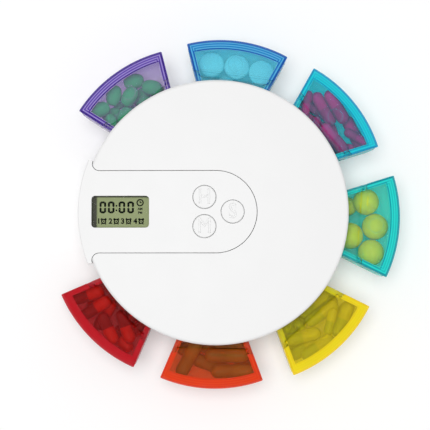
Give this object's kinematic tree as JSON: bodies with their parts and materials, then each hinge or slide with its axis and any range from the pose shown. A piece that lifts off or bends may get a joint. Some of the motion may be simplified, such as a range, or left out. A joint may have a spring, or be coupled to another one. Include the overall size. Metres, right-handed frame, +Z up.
{
  "type": "pill organiser with timer",
  "caption": "Round weekly pill organiser with pull-out translucent colour drawers under flip lids and a slide-in reminder timer with LCD and buttons.",
  "frame": {"origin": "on the round cover's axis, at the plane that the rubber ring rests on", "axes": "+Z up through the cover; the timer's display end points along -X, +Y is to the display's top"},
  "size_m": [0.1587, 0.1641, 0.0306],
  "materials": {
    "white_plastic": "satin moulded white ABS",
    "screw_steel": "zinc plated",
    "cell_steel": "nickel plated",
    "grey_rubber": "matte",
    "clear_window": "clear acrylic",
    "lcd_glass": "olive reflective LCD",
    "green_board": "solder mask",
    "black_plastic": "moulded black",
    "purple_plastic": "translucent tinted polypropylene",
    "blue_plastic": "translucent tinted polypropylene",
    "cyan_plastic": "translucent tinted polypropylene",
    "teal_plastic": "translucent tinted polypropylene",
    "yellow_plastic": "translucent tinted polypropylene",
    "orange_plastic": "translucent tinted polypropylene",
    "red_plastic": "translucent tinted polypropylene",
    "green_tablet": "coated tablet, contents only",
    "white_tablet": "pressed tablet, contents only",
    "magenta_capsule": "gelatine capsule, contents only",
    "lime_ball": "round soft capsule, contents only",
    "green_capsule": "gelatine capsule, contents only",
    "brown_capsule": "gelatine capsule, contents only",
    "red_capsule": "gelatine capsule, contents only",
    "display_ink": "dark LCD segments"
  },
  "bodies": {
    "base": {"base_tray": "white_plastic", "top_cover": "white_plastic", "cover_screws": "screw_steel", "rubber_ring": "grey_rubber"},
    "timer": {"timer_top_housing": "white_plastic", "timer_bottom_housing": "white_plastic", "battery_housing": "white_plastic", "display_window": "clear_window", "lcd_panel": "lcd_glass", "lcd_connector": "grey_rubber", "circuit_board": "green_board", "tact_switches": "black_plastic", "buzzer": "black_plastic", "timer_screws": "screw_steel", "button_cells": "cell_steel", "battery_contacts": "cell_steel", "battery_door": "white_plastic"},
    "hour_button": {"hour_button": "white_plastic"},
    "minute_button": {"minute_button": "white_plastic"},
    "set_button": {"set_button": "white_plastic"},
    "purple_drawer": {"purple_drawer": "purple_plastic"},
    "purple_lid": {"purple_lid": "purple_plastic"},
    "blue_drawer": {"blue_drawer": "blue_plastic"},
    "blue_lid": {"blue_lid": "blue_plastic"},
    "cyan_drawer": {"cyan_drawer": "cyan_plastic"},
    "cyan_lid": {"cyan_lid": "cyan_plastic"},
    "teal_drawer": {"teal_drawer": "teal_plastic"},
    "teal_lid": {"teal_lid": "teal_plastic"},
    "yellow_drawer": {"yellow_drawer": "yellow_plastic"},
    "yellow_lid": {"yellow_lid": "yellow_plastic"},
    "orange_drawer": {"orange_drawer": "orange_plastic"},
    "orange_lid": {"orange_lid": "orange_plastic"},
    "red_drawer": {"red_drawer": "red_plastic"},
    "red_lid": {"red_lid": "red_plastic"}
  },
  "joints": [
    {"name": "timer_slide", "type": "slide", "parent": "base", "child": "timer", "axis": [-1, 0, 0], "range_m": [0, 0.085]},
    {"name": "hour_button_press", "type": "slide", "parent": "timer", "child": "hour_button", "axis": [0, 0, -1], "range_m": [0, 0.0005], "stiffness_N_per_m": 300},
    {"name": "minute_button_press", "type": "slide", "parent": "timer", "child": "minute_button", "axis": [0, 0, -1], "range_m": [0, 0.0005], "stiffness_N_per_m": 300},
    {"name": "set_button_press", "type": "slide", "parent": "timer", "child": "set_button", "axis": [0, 0, -1], "range_m": [0, 0.0005], "stiffness_N_per_m": 300},
    {"name": "purple_drawer_slide", "type": "slide", "parent": "base", "child": "purple_drawer", "axis": [-0.5878, 0.809, 0], "range_m": [-0.015, 0.0076]},
    {"name": "purple_lid_hinge", "type": "hinge", "parent": "purple_drawer", "child": "purple_lid", "pos_m": [-0.03715, 0.05113, 0.02202], "axis": [0.809, 0.5878, 0], "range_deg": [0, 90]},
    {"name": "blue_drawer_slide", "type": "slide", "parent": "base", "child": "blue_drawer", "axis": [0.1305, 0.9914, 0], "range_m": [-0.0156, 0.007]},
    {"name": "blue_lid_hinge", "type": "hinge", "parent": "blue_drawer", "child": "blue_lid", "pos_m": [0.00833, 0.06325, 0.02202], "axis": [0.9914, -0.1305, 0], "range_deg": [0, 90]},
    {"name": "cyan_drawer_slide", "type": "slide", "parent": "base", "child": "cyan_drawer", "axis": [0.7771, 0.6293, 0], "range_m": [-0.0172, 0.0054]},
    {"name": "cyan_lid_hinge", "type": "hinge", "parent": "cyan_drawer", "child": "cyan_lid", "pos_m": [0.05083, 0.04116, 0.02202], "axis": [0.6293, -0.7771, 0], "range_deg": [0, 90]},
    {"name": "teal_drawer_slide", "type": "slide", "parent": "base", "child": "teal_drawer", "axis": [0.9969, -0.0785, 0], "range_m": [-0.0202, 0.0024]},
    {"name": "teal_lid_hinge", "type": "hinge", "parent": "teal_drawer", "child": "teal_lid", "pos_m": [0.06819, -0.00537, 0.02202], "axis": [-0.0785, -0.9969, 0], "range_deg": [0, 90]},
    {"name": "yellow_drawer_slide", "type": "slide", "parent": "base", "child": "yellow_drawer", "axis": [0.6691, -0.7431, 0], "range_m": [-0.019, 0.0036]},
    {"name": "yellow_lid_hinge", "type": "hinge", "parent": "yellow_drawer", "child": "yellow_lid", "pos_m": [0.04497, -0.04994, 0.02202], "axis": [-0.7431, -0.6691, 0], "range_deg": [0, 90]},
    {"name": "orange_drawer_slide", "type": "slide", "parent": "base", "child": "orange_drawer", "axis": [-0.0262, -0.9997, 0], "range_m": [-0.016, 0.0066]},
    {"name": "orange_lid_hinge", "type": "hinge", "parent": "orange_drawer", "child": "orange_lid", "pos_m": [-0.00168, -0.06418, 0.02202], "axis": [-0.9997, 0.0262, 0], "range_deg": [0, 90]},
    {"name": "red_drawer_slide", "type": "slide", "parent": "base", "child": "red_drawer", "axis": [-0.7071, -0.7071, 0], "range_m": [-0.0166, 0.006]},
    {"name": "red_lid_hinge", "type": "hinge", "parent": "red_drawer", "child": "red_lid", "pos_m": [-0.04582, -0.04582, 0.02202], "axis": [-0.7071, 0.7071, 0], "range_deg": [0, 90]}
  ]
}
